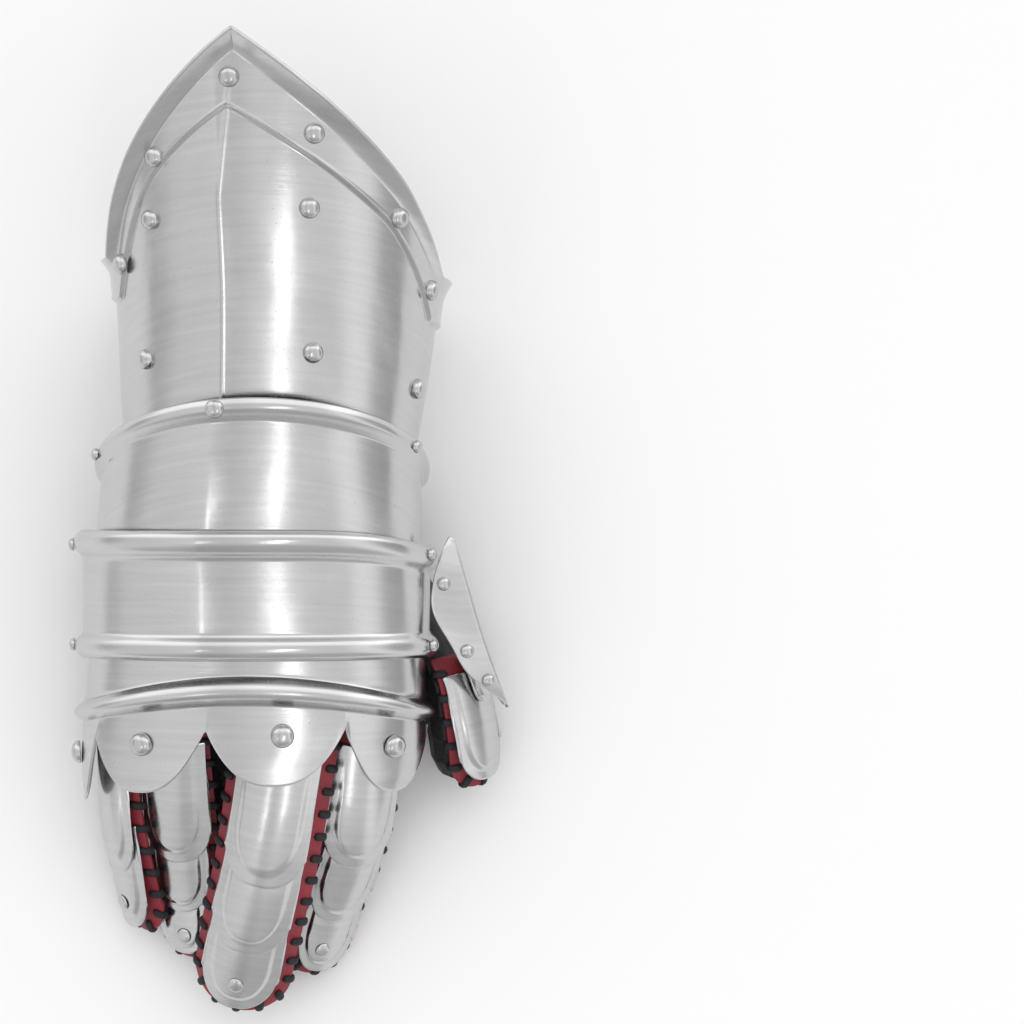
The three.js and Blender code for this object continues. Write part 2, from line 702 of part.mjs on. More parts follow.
// ---- rivets ----
function rivets() {
  const inside = new THREE.Vector3(0, 60, 45);
  const cuffRivets = [
    ["cuff_rim_rivet_1", -15, 15],
    ["cuff_rim_rivet_2", 13.5, 12],
    ["cuff_rim_rivet_3", 46, 10.5],
    ["cuff_rim_rivet_4", 68, 9.8],
    ["cuff_rim_rivet_5", -38, 10.8],
    ["cuff_rim_rivet_6", -61, 11],
    ["cuff_rim_rivet_7", -102, 9.4],
  ];
  cuffRivets.forEach(([name, angle, drop]) => {
    const band = (a, y) => cuffSurface(a, y, BAND_RISE);
    rivet(name, placeOn(band, angle, rimHeight(angle) - drop, inside), 3.7, 2.8);
  });
  const bodyRivets = [
    ["cuff_rivet_1", -42, 103.8],
    ["cuff_rivet_2", 14, 106.5],
    ["cuff_rivet_3", -50, 55],
    ["cuff_rivet_4", 17, 56.5],
    ["cuff_rivet_5", 71, 45],
    ["cuff_rivet_6", -110, 45],
  ];
  bodyRivets.forEach(([name, angle, y]) => {
    const body = (a, b) => cuffSurface(a, b, 0);
    rivet(name, placeOn(body, angle, y, inside), 3.7, 2.8);
  });
  const lameRivets = [
    ["wrist_rivet_1", WRIST_ROWS, -13, wristUpper(-13) - 3, 3],
    ["wrist_rivet_2", WRIST_ROWS, -76, wristUpper(-76) - 3, 3],
    ["wrist_rivet_3", WRIST_ROWS, 68, wristUpper(68) - 3, 3],
    ["hand_rivet_1", HAND_ROWS, -88, -12, 3.2],
    ["hand_rivet_2", HAND_ROWS, 74, -15.5, 3.2],
    ["hand_rivet_3", HAND_ROWS, -88, -49.5, 3.2],
    ["hand_rivet_4", HAND_ROWS, 76, -49.5, 3.2],
  ];
  lameRivets.forEach(([name, rows, angle, y, rise], k) => {
    const bead = (a, b) => archPoint(rows, a, b, rise, 1.2);
    const axis = new THREE.Vector3(0, y, along(rows, y, "mid"));
    rivet(name, placeOn(bead, angle, y, axis), k === 0 ? 3.4 : 2.4, k === 0 ? 2.4 : 1.9);
  });
  LOBES.forEach(({ name, angle, rivet: y }) => {
    const lobe = (a, b) => knuckleSurface(a, b, 1);
    const axis = new THREE.Vector3(0, y, along(KNUCKLE_ROWS, y, "mid"));
    rivet(`knuckle_rivet_${name}`, placeOn(lobe, angle, y, axis), 4.3, 3);
  });
  digitRivets();
}

function digitRivets() {
  DIGITS.slice(0, 4).forEach((digit) => {
    const scale = digit.scales[digit.scales.length - 1];
    const top = (u, v) => scalePoint(digit, scale, u / 100, v / 100);
    const { point, out } = digitFrame(digit, scale.to);
    rivet(`${digit.name}_tip_rivet`, placeOn(top, 0, 76, point.addScaledVector(out, -20)), 3, 1);
  });
  const plateRivets = [
    ["thumb_rivet_1", 2, 0.25],
    ["thumb_rivet_2", 4, 0.35],
    ["thumb_rivet_3", 5, 0.6],
  ];
  plateRivets.forEach(([name, row, share]) => {
    const across = (k) => new THREE.Vector3(...THUMB_PLATE[k].edge).lerp(new THREE.Vector3(...THUMB_PLATE[k].fold), share);
    const point = across(row);
    const fold = new THREE.Vector3(...THUMB_PLATE[row].fold).sub(new THREE.Vector3(...THUMB_PLATE[row].edge));
    const normal = fold.cross(across(row + 1).sub(across(row - 1))).normalize();
    if (normal.z < 0) normal.negate();
    rivet(name, { point, normal }, 2.6, 1.8);
  });
}

// ---- the whole gauntlet ----
cuff();
lames();
knucklePlate();
DIGITS.forEach(scales);
DIGITS.forEach(strip);
thumbPlate();
glove();
rivets();
const box = new THREE.Box3().setFromObject(group);
const centre = box.getCenter(new THREE.Vector3());
group.position.set(-centre.x, -centre.y, -box.min.z);

export default group;
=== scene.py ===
"""Armoured gauntlet: polished sheet steel over red leather strips and a black leather glove, lying palm down.

Every plate is a surface given as a function of two parameters, worked out in millimetres in the gauntlet's own frame
and moved into the row frame by SHIFT. The section tables are the ones that the CAD solids are made from.
"""

import math

import bpy
import numpy as np

from mathutils import Matrix


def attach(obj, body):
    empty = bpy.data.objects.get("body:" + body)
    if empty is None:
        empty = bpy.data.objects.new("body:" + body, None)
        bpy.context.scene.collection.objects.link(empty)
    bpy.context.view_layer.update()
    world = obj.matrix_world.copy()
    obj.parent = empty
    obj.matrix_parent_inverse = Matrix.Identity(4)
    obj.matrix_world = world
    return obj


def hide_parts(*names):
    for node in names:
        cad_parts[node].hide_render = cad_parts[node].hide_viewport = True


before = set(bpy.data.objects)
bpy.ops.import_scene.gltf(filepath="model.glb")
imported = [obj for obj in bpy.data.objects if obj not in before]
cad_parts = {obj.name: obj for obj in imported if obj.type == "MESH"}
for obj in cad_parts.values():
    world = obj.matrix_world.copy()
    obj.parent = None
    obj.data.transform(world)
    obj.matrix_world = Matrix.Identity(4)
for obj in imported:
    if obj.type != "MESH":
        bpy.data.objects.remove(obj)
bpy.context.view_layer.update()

MM = 0.001
SHIFT = np.array([-9.192608, 11.379311, 0.0])

# ---- section tables, the same as the CAD part's ----
STEEL = 1.4
SCALE_STEEL = 1.0
STRIP_LEATHER = 1.6
RIM_PEAK = 165.5
RIM_LOW = 84.0
RIM_LOW_OUTER = 92.0
RIM_SHIFT = 7.0
CUFF_WRAP = 150.0
LAME_WRAP = 100.0
CREST = -15.0
FLANGE_LENGTH = 6.5
FLANGE_OUTER = 4.5
FLANGE_RISE = 5.0
BAND_RISE = 1.4
SCALE_TILT = 3.0
PANEL_RISE = 0.8
SCALE_ROUND = 11.0
STRIP_UNDER = 1.6
HAND_LOWER = -54.0


def table(names, *rows):
    """A section table: one array a column."""
    return {name: np.array([row[i] for row in rows], float) for i, name in enumerate(names)}


SECTION = ("y", "x", "half", "mid", "rise")
CUFF_ROWS = table(
    SECTION,
    (5, 1.4, 53.2, 46, 37),
    (26, 3.1, 54.4, 47.5, 38.5),
    (45, 4.3, 56.5, 48, 41.5),
    (78, 6.0, 59.7, 49, 48),
    (110, 6.3, 63.3, 51, 54),
    (170, 6.6, 69.2, 55.5, 61.5),
)
WRIST_ROWS = table(SECTION, (-20, -2.0, 60.4, 42.5, 38.5), (5, -0.8, 59.6, 45.5, 42.3), (42, 1.6, 57.6, 49, 45.5))
HAND_ROWS = table(SECTION, (-60, -3.0, 64.9, 36, 36.8), (-30, -2.8, 64.7, 40, 39), (0, -2.5, 64.6, 44, 43.4))
KNUCKLE_ROWS = table(
    SECTION,
    (-108, -6.4, 60.8, 30, 32.5),
    (-85, -4.8, 64.2, 32.5, 34),
    (-60, -3.2, 63.4, 35, 35),
    (-44, -3.0, 61.6, 36.5, 35.4),
)
LOBES = [
    dict(name="little", left=-110, right=-62, high=-83, low=-107.5, angle=-86, rivet=-90),
    dict(name="ring", left=-62, right=-13.5, high=-80, low=-102.6, angle=-36, rivet=-85),
    dict(name="middle", left=-13.5, right=34, high=-77.5, low=-99.7, angle=12, rivet=-81.5),
    dict(name="index", left=34, right=88, high=-80, low=-103.2, angle=56, rivet=-86.5),
]
LINE = ("y", "x", "z")
DIGITS = [
    dict(
        name="middle",
        line=table(LINE, (-187, -13.4, 24), (-160, -7.2, 38.2), (-125, 1.2, 51.5), (-76, 9.5, 63.5)),
        lean=-3, root=15.6, tip=14.2, arch=5.2, tuck=14, left=4.6, right=4.4,
        scales=[(-84, -137.6, 1, 1), (-118, -163.6, 1, 1), (-148, -185.8, 1, 1)],
    ),
    dict(
        name="ring",
        line=table(LINE, (-169, -30.8, 13.6), (-150, -32.2, 19.6), (-118, -34.6, 33.5), (-76, -37.2, 51)),
        lean=-24, root=14.6, tip=13, arch=5, tuck=14, left=3.8, right=0.6,
        scales=[(-86, -130.6, 1, 1), (-117, -150.6, 1, 0.82), (-139, -167.6, 1, 0.6)],
    ),
    dict(
        name="index",
        line=table(LINE, (-175, 16, 13), (-154, 23.3, 21), (-124, 34.4, 34.5), (-76, 43.6, 48)),
        lean=28, root=14.2, tip=12.6, arch=5, tuck=14, left=0.6, right=3.2,
        scales=[(-88, -132.3, 1, 1), (-115, -154, 0.85, 1), (-140, -174, 0.72, 1)],
    ),
    dict(
        name="little",
        line=table(LINE, (-159, -51, 12), (-140, -54.8, 19.5), (-118, -58.6, 27), (-76, -62.4, 36)),
        lean=-54, root=12.2, tip=11, arch=4.2, tuck=4, left=0.8, right=0.6,
        scales=[(-90, -135, 1, 0.92), (-118, -157, 1, 0.92)],
    ),
    dict(
        name="thumb",
        line=table(LINE, (-101, 82, 19), (-80, 80.4, 26.5), (-58, 76.6, 29.5), (-38, 67.5, 22.5), (-16, 52, 18)),
        lean=50, root=12.6, tip=11.4, arch=4, tuck=1, left=0.6, right=1.2,
        scales=[(-54, -71, 0.3, 1), (-60, -100, 1, 1)],
    ),
]
THUMB_PLATE = table(
    ("ex", "ey", "ez", "fx", "fy", "fz", "down"),
    (69.4, -9.5, 47, 71.4, -10.5, 46.5, 3),
    (67, -15, 49, 73.4, -17, 46, 6),
    (63.8, -26, 49, 77, -28.5, 44.5, 8),
    (63.6, -37, 48, 80.8, -41.5, 42.5, 8),
    (70.6, -50, 46.4, 85.2, -55, 40.5, 7),
    (76.6, -60.5, 43, 88.4, -64.5, 37.5, 6),
    (89.6, -71.5, 34.4, 91.3, -73, 33, 3),
)


# ---- small maths ----
def curve(at, values, x):
    """Cubic Hermite curve through the points (at, values), straight beyond both ends."""
    at, values, x = np.asarray(at, float), np.asarray(values, float), np.asarray(x, float)
    slope = np.diff(values) / np.diff(at)
    turn = np.concatenate(([slope[0]], (slope[1:] + slope[:-1]) / 2, [slope[-1]]))
    i = np.clip(np.searchsorted(at, x, side="right") - 1, 0, len(at) - 2)
    span = at[i + 1] - at[i]
    t = np.clip((x - at[i]) / span, 0, 1)
    value = values[i] * (1 + 2 * t) * (1 - t) ** 2 + values[i + 1] * t * t * (3 - 2 * t)
    value += span * (turn[i] * t * (1 - t) ** 2 - turn[i + 1] * t * t * (1 - t))
    value += np.where(x < at[i], turn[i] * (x - at[i]), 0)
    return value + np.where(x > at[i + 1], turn[i + 1] * (x - at[i + 1]), 0)


def along(rows, y, column):
    """One column of a section table at y."""
    return curve(rows["y"], rows[column], y)


def smooth(low, high, x):
    """0 below low, 1 above high, and 3t^2 - 2t^3 between."""
    t = np.clip((x - low) / (high - low), 0, 1)
    return t * t * (3 - 2 * t)


def mix(a, b, t):
    return a + (b - a) * t


def unit(v):
    return v / np.maximum(np.linalg.norm(v, axis=-1, keepdims=True), 1e-9)


# ---- meshes ----
def new_object(name, points, faces, uv=None, finish=None):
    """A smooth-shaded mesh object from points in millimetres of the gauntlet's own frame and quads."""
    mesh = bpy.data.meshes.new(name)
    points = (points.reshape(-1, 3) + SHIFT) * MM
    faces = faces.reshape(-1, 4)
    mesh.vertices.add(len(points))
    mesh.vertices.foreach_set("co", points.astype(np.float32).ravel())
    mesh.loops.add(faces.size)
    mesh.loops.foreach_set("vertex_index", faces.astype(np.int32).ravel())
    mesh.polygons.add(len(faces))
    mesh.polygons.foreach_set("loop_start", np.arange(0, faces.size, 4, dtype=np.int32))
    mesh.polygons.foreach_set("use_smooth", np.ones(len(faces), bool))
    mesh.update(calc_edges=True)
    if uv is not None:
        layer = mesh.uv_layers.new(name="lie")
        layer.data.foreach_set("uv", (uv.reshape(-1, 2)[faces.ravel()] * MM).astype(np.float32).ravel())
    mesh.validate()
    thing = bpy.data.objects.new(name, mesh)
    bpy.context.scene.collection.objects.link(thing)
    if finish is not None:
        mesh.materials.append(finish)
    return thing


def grid_faces(rows, columns, wrap=False):
    """Quads of a grid of rows x columns points, joined round from the last column to the first if wrap."""
    i = np.arange(rows - 1)[:, None]
    j = np.arange(columns if wrap else columns - 1)[None, :]
    k = (j + 1) % columns
    return np.stack([i * columns + j, i * columns + k, (i + 1) * columns + k, (i + 1) * columns + j], -1)


def lengths(points, axis):
    """Distance run along one axis of a grid of points, in millimetres."""
    step = np.linalg.norm(np.diff(points, axis=axis), axis=-1)
    zero = np.zeros_like(np.take(step, [0], axis=axis))
    return np.concatenate([zero, np.cumsum(step, axis=axis)], axis=axis)


def sheet(name, points, thickness, finish):
    """Closed sheet: the grid p(i, j), the same grid at p - n t, and a round edge at the middle of the rim pushed
    out by t/2, so that every edge catches the light."""
    rows, columns = points.shape[:2]
    across = np.gradient(points, axis=1)
    down = np.gradient(points, axis=0)
    normal = unit(np.cross(across, down))
    middle = points.reshape(-1, 3).mean(axis=0)
    if np.sum(normal * (points - middle)) < 0:
        normal = -normal
    inner = points - normal * thickness
    uv = np.stack([lengths(points, 1), lengths(points, 0)], -1)
    uv[..., 0] -= uv[:, columns // 2 : columns // 2 + 1, 0]
    ring = np.concatenate(
        [
            np.stack([np.zeros(columns - 1, int), np.arange(columns - 1)], -1),
            np.stack([np.arange(rows - 1), np.full(rows - 1, columns - 1)], -1),
            np.stack([np.full(columns - 1, rows - 1), np.arange(columns - 1, 0, -1)], -1),
            np.stack([np.arange(rows - 1, 0, -1), np.zeros(rows - 1, int)], -1),
        ]
    )
    ri, rj = ring[:, 0], ring[:, 1]
    edge = (ri == 0)[:, None] * -unit(down[ri, rj]) + (ri == rows - 1)[:, None] * unit(down[ri, rj])
    edge = edge + (rj == 0)[:, None] * -unit(across[ri, rj]) + (rj == columns - 1)[:, None] * unit(across[ri, rj])
    edge = unit(edge)
    top, under = points[ri, rj], inner[ri, rj]
    turns = [0.25, 0.5, 0.75]
    rim = [
        mix(top, under, (1 - math.cos(math.pi * t)) / 2) + edge * thickness * 0.5 * math.sin(math.pi * t) for t in turns
    ]
    count = rows * columns
    outer_ids = ri * columns + rj
    loops = [outer_ids] + [2 * count + k * len(ring) + np.arange(len(ring)) for k in range(3)] + [count + outer_ids]
    sides = [
        np.stack([b, np.roll(b, -1), np.roll(a, -1), a], -1) for a, b in zip(loops[:-1], loops[1:])
    ]
    faces = grid_faces(rows, columns).reshape(-1, 4)
    faces = np.concatenate([faces, count + faces[:, ::-1]] + sides)
    everything = np.concatenate([points.reshape(-1, 3), inner.reshape(-1, 3)] + rim)
    uvs = np.concatenate([uv.reshape(-1, 2), uv.reshape(-1, 2)] + [uv[ri, rj]] * 3)
    first = np.cross(everything[faces[0, 1]] - everything[faces[0, 0]], everything[faces[0, 2]] - everything[faces[0, 0]])
    if np.dot(first, normal[0, 0]) < 0:
        faces = faces[:, ::-1]
    return new_object(name, everything, faces, uvs, finish)


def place(thing, slot, *nodes):
    """The piece rides on the one body and stands for these CAD nodes; its slot argument is not used."""
    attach(thing, "root")
    if nodes:
        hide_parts(*nodes)
    return thing


# ---- materials ----
def group(name, inputs, outputs):
    """An empty shader node group with named number inputs and outputs."""
    tree = bpy.data.node_groups.new(name, "ShaderNodeTree")
    for label, kind, value in inputs:
        socket = tree.interface.new_socket(name=label, in_out="INPUT", socket_type=kind)
        if value is not None:
            socket.default_value = value
    for label, kind in outputs:
        tree.interface.new_socket(name=label, in_out="OUTPUT", socket_type=kind)
    return tree, tree.nodes.new("NodeGroupInput"), tree.nodes.new("NodeGroupOutput")


def node(tree, kind, inputs=(), **settings):
    """A node with its settings, its inputs linked when given a socket and set when given a value."""
    made = tree.nodes.new(kind)
    for key, value in settings.items():
        setattr(made, key, value)
    for key, value in dict(inputs).items():
        if isinstance(value, bpy.types.NodeSocket):
            tree.links.new(value, made.inputs[key])
        else:
            made.inputs[key].default_value = value
    return made


def remap(tree, value, low, high, to_low, to_high):
    made = node(
        tree, "ShaderNodeMapRange", {"Value": value, "From Min": low, "From Max": high, "To Min": to_low, "To Max": to_high}
    )
    return made.outputs["Result"]


def maths(tree, operation, *values):
    made = tree.nodes.new("ShaderNodeMath")
    made.operation = operation
    for socket, value in zip(made.inputs, values):
        if isinstance(value, bpy.types.NodeSocket):
            tree.links.new(value, socket)
        else:
            socket.default_value = value
    return made.outputs[0]


def brushed_group():
    """Fine brushing that runs along U, long scratches, cloudy polish and small dents in sheet metal."""
    tree, into, out = group(
        "brushed_metal",
        [
            ("Vector", "NodeSocketVector", None),
            ("Brushing", "NodeSocketFloat", 1.0),
            ("Dents", "NodeSocketFloat", 1.0),
            ("Roughness", "NodeSocketFloat", 0.25),
        ],
        [("Tone", "NodeSocketFloat"), ("Roughness", "NodeSocketFloat"), ("Normal", "NodeSocketVector")],
    )
    where = into.outputs["Vector"]
    stretched = node(tree, "ShaderNodeVectorMath", {0: where, 1: (60, 2600, 60)}, operation="MULTIPLY").outputs[0]
    fine = node(tree, "ShaderNodeTexNoise", {"Vector": stretched, "Scale": 1.0, "Detail": 3.0, "Roughness": 0.6})
    broad = node(tree, "ShaderNodeVectorMath", {0: where, 1: (18, 420, 18)}, operation="MULTIPLY").outputs[0]
    streak = node(tree, "ShaderNodeTexNoise", {"Vector": broad, "Scale": 1.0, "Detail": 2.0, "Roughness": 0.5})
    cloud = node(tree, "ShaderNodeTexNoise", {"Vector": where, "Scale": 38.0, "Detail": 4.0, "Roughness": 0.55})
    dent = node(tree, "ShaderNodeTexNoise", {"Vector": where, "Scale": 46.0, "Detail": 1.0, "Roughness": 0.4})
    speck = node(tree, "ShaderNodeTexNoise", {"Vector": where, "Scale": 900.0, "Detail": 2.0, "Roughness": 0.6})
    pits = remap(tree, speck.outputs["Fac"], 0.66, 0.72, 0.0, 1.0)
    clean = maths(tree, "SUBTRACT", 1.0, maths(tree, "MULTIPLY", pits, 0.16))
    tone = maths(tree, "MULTIPLY", remap(tree, streak.outputs["Fac"], 0.3, 0.7, 0.93, 1.0), clean)
    tone = maths(tree, "MULTIPLY", tone, remap(tree, cloud.outputs["Fac"], 0.35, 0.7, 0.95, 1.0))
    rough = maths(tree, "MULTIPLY", into.outputs["Roughness"], remap(tree, cloud.outputs["Fac"], 0.3, 0.7, 0.72, 1.35))
    rough = maths(tree, "ADD", rough, maths(tree, "MULTIPLY", pits, 0.12))
    lift = maths(tree, "MULTIPLY", maths(tree, "SUBTRACT", fine.outputs["Fac"], 0.5), into.outputs["Brushing"])
    lines = node(tree, "ShaderNodeBump", {"Height": lift, "Strength": 0.12, "Distance": 0.0002})
    push = maths(tree, "MULTIPLY", dent.outputs["Fac"], into.outputs["Dents"])
    waves = node(
        tree, "ShaderNodeBump", {"Height": push, "Strength": 0.35, "Distance": 0.0012, "Normal": lines.outputs[0]}
    )
    tree.links.new(tone, out.inputs["Tone"])
    tree.links.new(rough, out.inputs["Roughness"])
    tree.links.new(waves.outputs[0], out.inputs["Normal"])
    return tree


def leather_group():
    """Leather grain: small cells with creases between them, soft folds and rubbed patches."""
    tree, into, out = group(
        "leather_grain",
        [
            ("Vector", "NodeSocketVector", None),
            ("Grain", "NodeSocketFloat", 1400.0),
            ("Folds", "NodeSocketFloat", 1.0),
            ("Roughness", "NodeSocketFloat", 0.5),
        ],
        [("Tone", "NodeSocketFloat"), ("Roughness", "NodeSocketFloat"), ("Normal", "NodeSocketVector")],
    )
    where = into.outputs["Vector"]
    cells = node(
        tree, "ShaderNodeTexVoronoi", {"Vector": where, "Scale": into.outputs["Grain"]}, feature="DISTANCE_TO_EDGE"
    )
    crease = remap(tree, cells.outputs["Distance"], 0.0, 0.12, 0.0, 1.0)
    cloud = node(tree, "ShaderNodeTexNoise", {"Vector": where, "Scale": 90.0, "Detail": 5.0, "Roughness": 0.6})
    fold = node(tree, "ShaderNodeTexNoise", {"Vector": where, "Scale": 150.0, "Detail": 2.0, "Distortion": 1.2})
    tone = maths(tree, "MULTIPLY", remap(tree, crease, 0.0, 1.0, 0.72, 1.0), remap(tree, cloud.outputs["Fac"], 0.3, 0.7, 0.75, 1.2))
    rough = maths(tree, "MULTIPLY", into.outputs["Roughness"], remap(tree, cloud.outputs["Fac"], 0.3, 0.7, 0.85, 1.15))
    grain = node(tree, "ShaderNodeBump", {"Height": crease, "Strength": 0.4, "Distance": 0.0002})
    lift = maths(tree, "MULTIPLY", fold.outputs["Fac"], into.outputs["Folds"])
    folds = node(tree, "ShaderNodeBump", {"Height": lift, "Strength": 0.5, "Distance": 0.0012, "Normal": grain.outputs[0]})
    tree.links.new(tone, out.inputs["Tone"])
    tree.links.new(rough, out.inputs["Roughness"])
    tree.links.new(folds.outputs[0], out.inputs["Normal"])
    return tree


BRUSHED = brushed_group()
LEATHER = leather_group()


def finish(name, colour, effect, settings, metallic=0.0, use_uv=False, **principled):
    """A Principled material whose colour, roughness and normal come from one of the effect groups."""
    made = bpy.data.materials.new(name)
    made.use_nodes = True
    tree = made.node_tree
    tree.nodes.clear()
    coords = tree.nodes.new("ShaderNodeUVMap" if use_uv else "ShaderNodeTexCoord")
    if use_uv:
        coords.uv_map = "lie"
    where = coords.outputs["UV" if use_uv else "Object"]
    work = tree.nodes.new("ShaderNodeGroup")
    work.node_tree = effect
    tree.links.new(where, work.inputs["Vector"])
    for key, value in settings.items():
        work.inputs[key].default_value = value
    base = node(tree, "ShaderNodeMix", {6: colour, 7: work.outputs["Tone"]}, data_type="RGBA", blend_type="MULTIPLY")
    base.inputs[0].default_value = 1.0
    shade = node(
        tree,
        "ShaderNodeBsdfPrincipled",
        {
            "Base Color": base.outputs[2],
            "Roughness": work.outputs["Roughness"],
            "Normal": work.outputs["Normal"],
            "Metallic": metallic,
        },
    )
    for key, value in principled.items():
        shade.inputs[key.replace("_", " ")].default_value = value
    out = tree.nodes.new("ShaderNodeOutputMaterial")
    tree.links.new(shade.outputs[0], out.inputs["Surface"])
    return made


STEEL_FINISH = finish(
    "polished_steel", (0.6, 0.6, 0.605, 1), BRUSHED, {"Brushing": 1.0, "Dents": 0.5, "Roughness": 0.2}, 1.0, True
)
SCALE_FINISH = finish(
    "scale_steel", (0.6, 0.6, 0.605, 1), BRUSHED, {"Brushing": 0.7, "Dents": 0.9, "Roughness": 0.22}, 1.0, True
)
RIVET_FINISH = finish(
    "rivet_steel", (0.56, 0.56, 0.565, 1), BRUSHED, {"Brushing": 0.3, "Dents": 2.5, "Roughness": 0.2}, 1.0
)
RED_FINISH = finish(
    "red_leather", (0.28, 0.02, 0.033, 1), LEATHER, {"Grain": 1500.0, "Folds": 0.5, "Roughness": 0.45}
)
BLACK_FINISH = finish(
    "black_leather", (0.012, 0.012, 0.014, 1), LEATHER, {"Grain": 1200.0, "Folds": 1.4, "Roughness": 0.5}
)
THREAD_FINISH = finish(
    "waxed_thread", (0.008, 0.009, 0.013, 1), LEATHER, {"Grain": 2600.0, "Folds": 0.8, "Roughness": 0.62}
)


# ---- cuff, lames and knuckle plate ----
def arch(rows, angle, y, rise, crest):
    """Section point at an angle from straight up: x = middle + half sin a, z = mid + height cos a."""
    t = np.radians(angle)
    peak = crest * np.clip(1 - np.abs(angle - CREST) / 50, 0, 1) ** 2
    half = along(rows, y, "half") + rise
    middle = along(rows, y, "mid")
    high = along(rows, y, "rise") + rise + peak
    if rows is CUFF_ROWS:
        low = (middle - 1) / math.cos(math.radians(180 - CUFF_WRAP)) + np.minimum(rise, 0.5)
    else:
        low = high
    height = np.where(np.cos(t) > 0, high, low)
    return np.stack([along(rows, y, "x") + half * np.sin(t), y + 0 * t, middle + height * np.cos(t)], -1)


def rim_angle(angle):
    return angle + RIM_SHIFT * np.clip(1 - np.abs(angle - CREST) / 60, 0, None)


def rim_height(angle):
    turn = rim_angle(angle) - rim_angle(CREST)
    fall = np.where(turn > 0, 0.8 * turn + 0.0025 * turn**2, -1.05 * turn + 0.0042 * turn**2)
    low = mix(RIM_LOW_OUTER, RIM_LOW, np.clip((angle + 90) / 180, 0, 1))
    gap = RIM_PEAK - fall - low
    return low + np.where(gap > 3, gap, np.where(gap < -3, 0, (gap + 3) ** 2 / 12))


def flange_length(angle):
    return mix(FLANGE_LENGTH, FLANGE_OUTER, np.clip((CREST - angle) / 40, 0, 1))


def flange_rise(angle):
    return FLANGE_RISE * mix(1, 0.45, np.clip((np.abs(angle - CREST) - 30) / 40, 0, 1))


def band_width(angle):
    turn = angle - CREST
    return np.maximum(24 - np.where(turn > 0, 0.15, -0.4) * turn, flange_length(angle) + 9)


def cuff_surface(angle, y, rise):
    lean = np.clip((y - 110) / (RIM_PEAK - 110), 0, 1)
    return arch(CUFF_ROWS, mix(angle, rim_angle(angle), lean), y, rise, 3)


def cuff_lower(angle):
    return np.maximum(30 - 21 * (1 - np.cos(np.radians(angle))), 10)


def cuff():
    """A fine raised line runs up the crest. Body rows run from the lower edge to the step, then rows by distance
    d under the rim: the band is raised by a
    smooth step with a narrow ridge on it, and the flange turns out as q^1.32, q from 0 at its fold to 1 at its edge."""
    near = np.linspace(-3, 3, 17) + CREST
    angle = np.concatenate([np.linspace(-150, near[0], 118)[:-1], near, np.linspace(near[-1], 150, 140)[1:]])
    start = rim_height(angle) - band_width(angle) - 2.5
    t = np.linspace(0, 1, 60)[:-1, None]
    body_y = mix(cuff_lower(angle)[None, :], start[None, :], t)
    s = np.linspace(0, 1, 90)[:, None]
    drop = (band_width(angle) + 2.5)[None, :] * (1 - s)
    band = band_width(angle)[None, :]
    ridge = 0.55 * np.exp(-(((drop - band) / 0.8) ** 2))
    fold = flange_length(angle)[None, :]
    q = np.clip((fold - drop) / fold, 0, 1)
    rise = BAND_RISE * smooth(-1.6, 1.0, band - drop) + ridge + flange_rise(angle)[None, :] * q**1.5
    y = np.concatenate([body_y, rim_height(angle)[None, :] - drop])
    rise = np.concatenate([np.zeros_like(body_y), rise])
    rise += 0.35 * np.exp(-(((angle - CREST) / 0.7) ** 2))[None, :] * np.concatenate([1 + 0 * t, smooth(0.6, 0, s)])
    points = cuff_surface(np.broadcast_to(angle, y.shape), y, rise)
    place(sheet("cuff_plate", points, STEEL, STEEL_FINISH), "plate_steel", "cuff")


HALF_BEAD = [(0, 0.6), (1.4, 2.3), (4.2, 3.2), (7.4, 2.4), (9.6, 0.5), (10.6, 0)]
FLARE = [(0, 2.2), (2, 3), (4, 2.8), (6, 1.2), (7.6, 0)]


def bead_rise(profile, off, scale=1.0):
    """Rise of a bead at a distance from the plate's edge, flat beyond the bead."""
    at = [p[0] * scale for p in profile]
    value = curve(at, [p[1] for p in profile], off)
    return np.where(off > at[-1], 0, np.maximum(value, 0))


def wrist_upper(angle):
    return 40 - 21 * (1 - np.cos(np.radians(angle)))


def hand_upper(angle):
    return -6.8 - np.where(angle > 0, 6 * np.sin(np.radians(angle)) ** 4, 0)


def lame(name, rows, upper, lower, top_bead, low_bead):
    """Rows run by a share s from the upper edge to the lower one, closer together on the beads at its edges."""
    angle = np.linspace(-LAME_WRAP, LAME_WRAP, 200)
    s = np.linspace(0, 1, 110)
    s = (s - 0.11 * np.sin(4 * np.pi * s) / (2 * np.pi))[:, None]
    top, bottom = upper(angle)[None, :], lower(angle)[None, :]
    y = mix(top, bottom, s)
    rise = bead_rise(top_bead, top - y)
    if low_bead:
        rise = np.maximum(rise, bead_rise(low_bead, y - bottom, 0.92))
    points = arch(rows, np.broadcast_to(angle, y.shape), y, rise, 1.2)
    place(sheet(name + "_plate", points, STEEL, STEEL_FINISH), "plate_steel", name)


def lobe_of(angle):
    """Position across its own scallop, from -1 to 1, and that scallop's upper and lower reach."""
    edges = np.array([lobe["right"] for lobe in LOBES])
    which = np.clip(np.searchsorted(edges, angle, side="left"), 0, len(LOBES) - 1)
    left = np.array([lobe["left"] for lobe in LOBES], float)[which]
    right = edges[which]
    q = np.clip((angle - (left + right) / 2) / ((right - left) / 2), -1, 1)
    high = np.array([lobe["high"] for lobe in LOBES], float)[which]
    low = np.array([lobe["low"] for lobe in LOBES], float)[which]
    return q, high, low


def lobe_edge(angle):
    q, high, low = lobe_of(angle)
    return mix(high, low, 1 - np.abs(q) ** 2.6)


def knuckle_ridge(angle, share):
    return mix(-59.5, -70.5, share) - mix(11, 8, share) * np.sin(np.radians(angle)) ** 2


